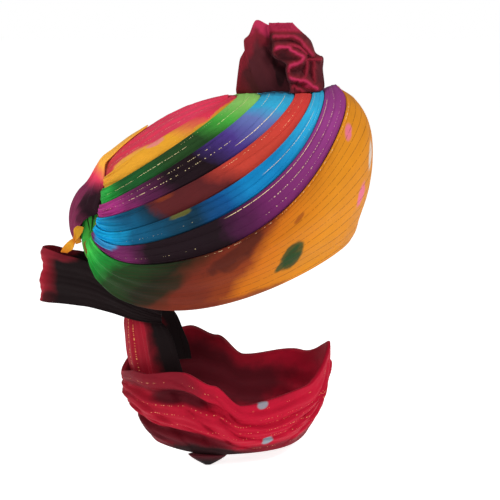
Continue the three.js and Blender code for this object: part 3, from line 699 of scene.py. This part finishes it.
# The knot: the drawn-in ends of the passes, bunched into an upright bundle and pulled tight.
# The gathers are green and yellow cotton with deep dark creases between them.
KNOT_Y, KNOT_Z, KNOT_HALF_WIDTH, KNOT_HALF_DEPTH, KNOT_HALF_HEIGHT = 168, 28, 26.2, 12, 32


def bunch_knot(u, v):
    s = 2 * u - 1
    turn = 2 * np.pi * v
    pinch = 0.95 + 0.05 * np.cos(5 * np.pi * s)
    drawn_in = np.maximum(1 - 0.35 * s ** 4, 0.3) * (1 - 0.6 * ease(np.abs(s), 0.93, 1))
    gathers = 0.035 * np.cos(13 * np.pi * s + 2 * np.sin(turn)) + 0.03 * drift(14 * u, 5 * np.cos(turn) + 9, 51)
    size = pinch * drawn_in * (1 + gathers)
    return columns(s * KNOT_HALF_WIDTH, KNOT_Y + KNOT_HALF_DEPTH * size * np.cos(turn),
                   KNOT_Z + KNOT_HALF_HEIGHT * size * np.sin(turn)), columns(u, v)


knot = lay_cloth("knot_cloth", 120, 96, bunch_knot)
close_roll(knot)
knot_dye = coloured_cloth("knot_dye", [
    (0, GRASS), (0.3, LEAF_GREEN), (0.55, GRASS), (0.66, MARIGOLD), (0.78, LEAF_GREEN), (1, GRASS)],
    0.08, 0.16, spots_and_shade=[
    (0.92, 0.3, 0.12, 0.03, BLACK_GREEN, 0.9), (0.95, 0.18, 0.1, 0.02, BLACK_GREEN, 0.9),
    (0.9, 0.38, 0.06, 0.04, MARIGOLD, 0.8), (0.9, 0.9, 0.1, 0.05, RUST, 0.8)])
dress(knot, knot_dye)
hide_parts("knot")

# The knot strap: a narrow strip torn from the cloth's orange end, pulled out of the knot to one side.
# It lies on the knot and the tail loop, with a twist in the middle.
# x, y, z, half width
STRAP_ROWS = np.array([
    [-27, 178, 40, 3.4], [-27.8, 180.5, 36, 4.8], [-28, 183, 31, 4.2], [-27, 185, 25.5, 2.4], [-25.5, 188.5, 21, 4],
    [-24, 193, 15.5, 4.8], [-22.5, 197.5, 10.5, 3.4],
])
STRAP_OUT = 3.8  # how far it stands out from these rows
STRAP_ARCH = 1.4


def pull_strap(u, v):
    x, y, z, half_width = smooth_rows(STRAP_ROWS, u).T
    across = 2 * v - 1
    lean = 0.75 - 0.5 * np.cos(2 * np.pi * u)
    level, upright = half_width * across * np.cos(lean), half_width * across * np.sin(lean)
    return columns(x - STRAP_OUT - STRAP_ARCH * across ** 2 - 0.3 * level, y + level, z + upright), columns(u, v)


strap = lay_cloth("knot_strap", 40, 10, pull_strap)
give_thickness(strap, 1.6, levels=1)
strap_dye = coloured_cloth("strap_dye", [(0.3, MARIGOLD), (0.5, DEEP_ORANGE), (0.7, MARIGOLD), (1, DEEP_ORANGE)],
                       0.05, 0.012, mirrored=False)
dress(strap, strap_dye)

# The crest: a pleated end of the cloth, stiffened and pulled up out of the winding as a standing fan.
# It is dark crimson. At the back it stands in broad panels, and at the front in a stack of ruffles.
# y, z of the hem from the back round to the front, and how far it stands to the left there
CREST_HEM = np.array([
    [10.6, 178.8, 2], [11, 187.6, -3], [8, 213.5, -10], [4.4, 222.3, -13], [0.5, 229.8, -15], [2.6, 237, -16],
    [-2.7, 242.6, -15], [-7.7, 254.8, -12], [-12.1, 257.2, -8], [-20.4, 253.1, -1], [-23.9, 252, 2],
    [-29.8, 253.9, 7], [-47.5, 253.3, 10], [-51.1, 249.7, 8], [-54.7, 243.7, 6], [-61.8, 241.7, 10],
    [-66.5, 236, 12], [-70.2, 229.2, 11], [-73.8, 219.9, 8], [-81.5, 217.7, 10], [-81.1, 205, 9],
    [-83, 186.4, 8], [-79, 184.1, 4],
])
# the same way round, its root on the winding: share, z
CREST_ROOT = ([0, 0.2, 0.3, 0.42, 0.55, 0.67, 0.75, 0.86, 1],
              [180.1, 179.6, 180.8, 181.6, 181.4, 180.7, 180.8, 181.7, 182.1])
CREST_ROOT_BACK, CREST_ROOT_FRONT = -2, -68


def bell(x):
    return np.exp(-x ** 2)


def stand_crest(u, v):
    hem_y, hem_z, hem_left = smooth_rows(CREST_HEM, u).T
    root_y, root_z = mix(CREST_ROOT_BACK, CREST_ROOT_FRONT, u), np.interp(u, *CREST_ROOT)
    spread = np.sin(np.pi / 2 * v) ** 0.8
    fine = 2.2 * np.cos(2 * np.pi * 7 * u + 1.5 * drift(9 * u, 3 * v, 62)) * v * (1.25 - v)
    fine += 1.1 * v * drift(16 * u, 4 * v, 61)
    off_crease = (u - 0.7 + 0.5 * v) / 0.035
    crease = 3 * bell(off_crease) - 1.5 * bell(off_crease + 2)
    fine += crease * ease(v, 0.05, 0.2) * (1 - ease(v, 0.5, 0.8))
    left = hem_left * v ** 0.7 + fine
    return columns(left, mix(root_y, hem_y, spread), mix(root_z, hem_z, v ** 0.92)), columns(u, v)


crest = lay_cloth("crest_cloth", 180, 56, stand_crest)
give_thickness(crest, 1.6, levels=1)
# the raspberry along the top of the hem is a painted highlight, and the black claret marks along the crease are
# painted shade
crest_dye_light_and_shade = coloured_cloth("crest_dye_light_and_shade", [(0, CLARET), (0.12, DARK_CLARET)], 0.3, 0.08, spots_and_shade=[
    (0.15, 0.88, 0.3, 0.3, CLARET, 0.85), (0.4, 0.98, 0.14, 0.18, RASPBERRY, 0.9),
    (0.51, 0.2, 0.035, 0.17, BLACK_CLARET, 0.7), (0.48, 0.4, 0.03, 0.15, BLACK_CLARET, 0.65)],
    mirrored=False)
dress(crest, crest_dye_light_and_shade)
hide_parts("crest")

# The ruffles at the front of the crest: the same cloth, pushed together into deep soft folds whose edges face
# the side, painted raspberry along those edges as highlight and darker in the hollows as shade.
# They are sewn to the fan along their far edge, and the last one lies on the winding.
# inner y, inner z, outer y, outer z, from the top of the ruffles down to the winding
RUFFLE_ROWS = np.array([
    [-23.4, 254.1, -47.6, 254.1], [-24, 244.2, -58.3, 244.2], [-25.8, 236, -67.2, 236], [-27, 229, -70.3, 229],
    [-27, 222.6, -72.7, 222.6], [-30, 217.3, -80.1, 217.3], [-41.3, 211.4, -80.2, 211.4],
    [-41.7, 204.3, -80.3, 204.3], [-43.2, 196, -80.8, 196], [-45.6, 188.9, -81.4, 188.9], [-46, 180.8, -80, 183.7],
])
DEEPEST_FOLD = 12
# height, width, and the line that the fold's edge follows, as y, z
RUFFLE_FOLDS = [
    (DEEPEST_FOLD, 3.2, [
        [-27.4, 223.2], [-29.7, 227.3], [-36.7, 229.4], [-43.8, 228.7], [-47.3, 225.2], [-52, 222.9], [-57.9, 220.1],
        [-59.8, 217.8], [-58, 214.8], [-53.3, 212.2], [-46.3, 209.2], [-43.1, 206.1], [-42.8, 200.5], [-45.2, 197],
        [-49.9, 195.1], [-57, 194.4], [-64.1, 192.1], [-70, 188.5], [-74.2, 185.7],
    ]),
    (8, 2.8, [[-29.1, 239.8], [-37.9, 240.5], [-49.6, 239.3], [-57.8, 234.5], [-63.2, 227.9], [-69.7, 221.2]]),
    (7, 2.4, [[-42.6, 230.5], [-52, 229.8], [-57.9, 226.7], [-62.6, 222.1]]),
    (6, 2.4, [[-59.9, 215.7], [-67.4, 216.4], [-78, 216.4]]),
    (6, 2.2, [[-63.3, 214.5], [-62.8, 200.5], [-61.1, 195.2]]),
    (5, 2.2, [[-70.9, 214.5], [-71.9, 189.9]]),
    (6, 2.4, [[-45.8, 181.1], [-46.6, 185.2], [-49.9, 187.8], [-54.7, 185.2], [-59.4, 182.7]]),
    (6, 2.6, [[-24.9, 251.6], [-29.6, 253.9], [-46, 253.9]]),
]


def from_line(y, z, line):
    """The distance of each place from a smooth line through some points."""
    way = smooth_rows(np.array(line), np.linspace(0, 1, 8 * len(line)))
    nearest = np.full(len(y), np.inf)
    for (ay, az), (by, bz) in zip(way[:-1], way[1:]):
        length = (by - ay) ** 2 + (bz - az) ** 2
        along = np.clip(((y - ay) * (by - ay) + (z - az) * (bz - az)) / length, 0, 1)
        nearest = np.minimum(nearest, np.hypot(y - mix(ay, by, along), z - mix(az, bz, along)))
    return nearest


def stack_ruffles(u, v):
    inner_y, inner_z, outer_y, outer_z = smooth_rows(RUFFLE_ROWS, v).T
    y, z = mix(inner_y, outer_y, u), mix(inner_z, outer_z, u)
    wander_y, wander_z = [0.8 * drift(0.3 * y + 60, 0.3 * z, seed) for seed in (64, 65)]
    # painted light: a painted highlight along each fold's edge, over the top and in one small spot, falling to
    # painted shade in the hollows
    height, painted_light = 0 * u, 0 * u
    for fold_height, fold_width, line in RUFFLE_FOLDS:
        away = from_line(y + wander_y, z + wander_z, line)
        height = np.maximum(height, fold_height * (bell(away / fold_width) + bell(away / fold_width / 2.4)) / 2)
        edge_highlight = 0.65 * bell(away / 1.6) + 0.35 * bell(away / 4.5)
        painted_light = np.maximum(painted_light, fold_height / DEEPEST_FOLD * edge_highlight)
    edge = ease(u, 0, mix(0.32, 0.06, ease(v, 0, 0.2))) * ease(1 - u, 0, 0.06)
    x = mix(-3.4, -4.5, edge) - height * mix(0.3, 1, edge)
    x += 0.8 * drift(9 * u, 9 * v, 63) - 7.5 * ease(v, 0.86, 1.0)
    painted_light = np.maximum(painted_light * ease(u, 0, 0.1), 0.8 * ease(z, 240, 248))
    painted_light = np.maximum(painted_light, bell((y + 65) / 6) * bell((z - 188.5) / 3.5))
    return columns(x, y, z), columns(painted_light, v)


ruffles = lay_cloth("crest_ruffles", 110, 180, stack_ruffles)
give_thickness(ruffles, 1.6)
# claret painted dark in the hollows as shade, and raspberry on the fold edges as highlight
ruffle_light_and_shade = coloured_cloth("crest_ruffle_light_and_shade", [(0, DARK_CLARET), (0.4, CLARET), (1, RASPBERRY)], 0.06, 0.16,
                        mirrored=False, sheen=0.05)
dress(ruffles, ruffle_light_and_shade)

# The tail loop: the free end of the strip leaves the knot backwards, folds round and goes forward again
# under the rim. It is the tail's crimson cotton, painted almost black as shade except where it folds round at the
# back.
# x, y, top, bottom, for the left half
LOOP_HALF = np.array([
    [44.5, 92, -50, -64], [41, 118, -36, -62], [32, 148, -16, -55], [25, 170, -2, -51], [20, 186, 3, -50],
    [15, 204, 6, -49], [9, 221, 11, -49], [0, 228, 12, -49],
], dtype=float)
LOOP_ROWS = np.concatenate([LOOP_HALF * [-1, 1, 1, 1], LOOP_HALF[-2::-1]])


def fold_loop(u, v):
    x, y, top, bottom = smooth_rows(LOOP_ROWS, u).T
    course_x, course_y = row_course(LOOP_ROWS, u, 0.004)
    lean = 7 * v ** 3 * ease(y, 180, 226)
    folded = ease(y, 185, 224)
    ripple = mix(0.8, 1.3, folded) * np.cos(4.4 * np.pi * v + 0.8) + 0.8 * drift(16 * u, 5 * v, 72)
    ripple += mix(0.25, 0.3, folded) * np.cos(15 * np.pi * v + 2 * drift(9 * u, 3 * v, 71))
    ripple += 3.5 * folded * ease(v, 0.72, 1.0)
    return columns(x - course_y * ripple, y - lean + course_x * ripple, mix(bottom, top, v)), columns(u, v)


tail_loop = lay_cloth("tail_loop_cloth", 180, 60, fold_loop)
give_thickness(tail_loop, 1.8, levels=1)
# the near black and the darker patches by the fold are painted shade; the ruby where it folds is the cloth's own
# crimson
tail_loop_dye_and_shade = coloured_cloth(
    "tail_loop_dye_and_shade", [(0.08, RUBY), (0.26, BLACK_CLARET), (1, BLACK_CLARET)], 0.35, 0.06,
    spots_and_shade=[(0.2, 1, 0.25, 0.16, CLARET, 0.65), (0.17, 0, 0.12, 0.25, BLACK_CLARET, 0.8)], sheen=0.02, wander=0.5)
dress(tail_loop, tail_loop_dye_and_shade)
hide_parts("tail_loop")

# The tail drop: the tail spreads in loose upright pleats as it falls behind the neck. It is crimson
# with gold yarn along its length, and painted near black along both sides as shade, where the pleats turn in towards
# the neck.
# z, half width, back y, side y
DROP_ROWS = np.array([
    [-5, 12, 168, 165], [-30, 18, 150, 142], [-44, 27, 138, 118], [-60, 38, 133, 94], [-80, 50, 133, 78],
    [-108, 57, 131, 68], [-134, 60, 125, 62],
], dtype=float)


def drop_tail(u, v):
    across = 2 * u - 1
    z, half_width, back_y, side_y = smooth_rows(DROP_ROWS, v).T
    pleats = mix(1.2, 3, v) * np.cos(6 * np.pi * across) + 0.8 * drift(8 * v, 12 * u, 82)
    pleats += mix(0.3, 0.9, v) * np.cos(17 * np.pi * across + 2 * drift(4 * v, 6 * u, 81))
    y = mix(back_y, side_y, 1 - np.cos(np.pi / 2 * across)) + pleats
    return columns(half_width * np.sin(np.pi / 2 * across), y, z), columns(v, u)


tail_drop = lay_cloth("tail_drop_cloth", 160, 64, drop_tail)
give_thickness(tail_drop, 1.8, levels=1)
tail_drop_dye_and_shade = coloured_cloth("tail_drop_dye_and_shade", [(0, RUBY), (1, RUBY)], 0.13, 0.2, lines=[
    (0.3, 0.2, 1, 0.4), (0.37, 0.1, 1, 0.3), (0.44, 0.2, 1, 0.4),
    (0.56, 0.2, 1, 0.4), (0.63, 0.1, 1, 0.3), (0.7, 0.2, 1, 0.4)],
    # the near black along both sides is painted shade
    spots_and_shade=[(0.5, 0, 1.6, 0.18, BLACK_CLARET, 1), (0.5, 1, 1.6, 0.18, BLACK_CLARET, 1)],
    mirrored=False, yarn_width=0.003, dashes=120, yarn_dye=DEEP_GOLD, wander=0.4)
dress(tail_drop, tail_drop_dye_and_shade)
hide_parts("tail_drop")

# The neck wrap: one loose turn of the tail round the neck, bunched into long soft folds that sag and lap
# over each other at the sides. Crimson cotton with gold yarn along the folds and two silvery spots.
# bearing, top, bottom, reach, thick
NECK_ROWS = np.array([
    [0, -97, -193, 115, 9], [40, -126, -197, 112, 12], [80, -139, -199, 101, 18], [98, -116, -199, 103, 18],
    [116, -103, -198, 107, 18], [145, -112, -195, 115, 16], [180, -127, -178, 118.5, 12.5],
], dtype=float)
NECK_CENTRE_Y = 22
NECK_POINTS = 72
NECK_BACK_POINTS = 18
NECK_SWELL, LINING_SWELL = 7.5, 6
LAP_DEPTH = 4.2
ROLL_END = 0.9999  # a share past this lies on the beginning again
# depth, level, spread, and the bearings where it begins and where it is full
NECK_HOLLOWS = [(11, 0.74, 0.075, 70, 98), (8, 0.27, 0.07, 82, 108)]


def neck_sizes(bearing):
    i = np.clip(np.searchsorted(NECK_ROWS[:, 0], bearing), 1, len(NECK_ROWS) - 1)
    a, b = NECK_ROWS[i - 1], NECK_ROWS[i]
    return mix(a, b, ease(bearing, a[:, 0], b[:, 0])[:, None])[:, 1:].T


def wrap_neck(u, v):
    level, outer = roll_share(v, NECK_POINTS, NECK_BACK_POINTS)
    around, u = u, np.where(u > ROLL_END, 0, u)
    turn = np.radians(360 * u)
    bearing = np.abs((360 * u + 180) % 360 - 180)
    top, bottom, reach, thick = neck_sizes(bearing)
    swell = np.sin(np.pi * level)
    before_back = 1 - ease(bearing, 150, 178)
    side = ease(bearing, 70, 98) * before_back
    slope = level + 0.05 * np.sin(turn + 0.5)
    hollow = 0 * u
    for depth, middle, spread, begins, full in NECK_HOLLOWS:
        hollow += depth * bell((slope - middle) / spread) * ease(bearing, begins, full) * before_back
    folds = mix(1.0, 1.8, side) * np.cos(2 * np.pi * 2.3 * slope + 1.4 * np.cos(turn))
    low_back = ease(bearing, 80, 110) * ease(0.5 - level, 0, 0.2)
    creases = np.cos(2 * np.pi * 9 * slope + 3 * np.sin(turn) + 2.5 * drift(12 * u, 4 * level, 101))
    folds += (mix(0.6, 0.9, side) + 0.9 * low_back) * creases
    folds += 0.8 * drift(26 * u, 6 * level + 2, 102) + 0.3 * drift(80 * u, 14 * level, 103)
    sag = level - 0.75 * ease(bearing, 62, 160) + 0.4 * ease(bearing, 0, 75)
    folds += LAP_DEPTH * pleat_teeth(4.2 * sag + 0.7 * drift(bearing / 26 + 3, 2.5 * level, 104))
    base = reach * mix(0.8, 1, level)
    lining = 2.2 * swell * np.cos(2 * np.pi * 3.4 * level + 2 * turn)
    inner = base + LINING_SWELL * swell - thick * mix(0.45, 1, swell) + lining
    radius = np.where(outer, base + (folds + NECK_SWELL) * swell - hollow, inner)
    shown = np.where(v > ROLL_END, 2, np.where(outer, level, 2 - level))
    return columns(-radius * np.sin(turn), NECK_CENTRE_Y - radius * np.cos(turn),
                   mix(bottom, top, level)), columns(around, shown)


neck_wrap = lay_cloth("neck_wrap_cloth", 300, NECK_POINTS + NECK_BACK_POINTS, wrap_neck)
close_roll(neck_wrap)
neck_wrap_dye_and_shade = coloured_cloth(
    "neck_wrap_dye_and_shade", [(0.2, SCARLET), (0.45, RUBY), (0.7, RUBY), (1, SCARLET)], 0.7, 0.1, lines=[
    (0.1, 0.05, 0.22, 0.3), (0.36, 0.06, 0.45, 0.3), (0.48, 0.02, 0.24, 0.35), (0.6, 0.03, 0.42, 0.35),
    (0.7, 0.02, 0.2, 0.3), (0.88, 0.02, 0.45, 0.25), (0.5, 0.3, 0.48, 0.25)], spots_and_shade=[
    # the garnet and black claret patches are painted shade: in the hollows and folds, along the bottom edge and over
    # the inner side
    (0.6, 1.55, 0.36, 0.55, GARNET, 0.9), (0.2, 1.55, 0.2, 0.55, GARNET, 0.8),
    (0.5, 0, 5, 0.16, GARNET, 0.7), (0.38, 0.88, 0.11, 0.18, GARNET, 0.6),
    (0.33, 0.7, 0.06, 0.1, GARNET, 0.9), (0.35, 0.18, 0.14, 0.1, GARNET, 0.85),
    (0.29, 0, 0.1, 0.14, BLACK_CLARET, 0.95), (0.175, 0.255, 0.01, 0.085, SILVER, 0.95),
    (0.189, 0.96, 0.009, 0.075, SILVER, 0.8)],
    mirrored=False, sheen=0.01, yarn_width=0.003, dashes=420, yarn_dye=ROSE_GOLD, wander=0.35)
dress(neck_wrap, neck_wrap_dye_and_shade)
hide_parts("neck_wrap")

# The tail tip: the end of the strip, doubled up and tucked under the neck wrap on the right.
# It is dark crimson, with folds that fan out from where it is tucked in.
TIP_X, TIP_Y, TIP_TOP, TIP_DROP, TIP_HALF_WIDTH, TIP_THICK = -78, 42, -199.5, 12, 21, 7


def tuck_tip(u, v):
    turn = 2 * np.pi * v
    narrow = 1 - 0.85 * u ** 1.3
    flute = 1 + 0.12 * np.cos(5 * turn) * ease(u, 0.1, 0.5) * narrow
    return columns(TIP_X + TIP_THICK * narrow * flute * np.cos(turn),
                   TIP_Y + TIP_HALF_WIDTH * narrow * np.sin(turn), TIP_TOP - TIP_DROP * u), columns(u, v)


tip = lay_cloth("tail_tip_cloth", 40, 72, tuck_tip)
close_roll(tip)
tip_dye = coloured_cloth("tail_tip_dye", [(0, GARNET), (0.6, BLACK_CLARET)], 0.03, 0.1, mirrored=False)
dress(tip, tip_dye)
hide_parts("tail_tip")
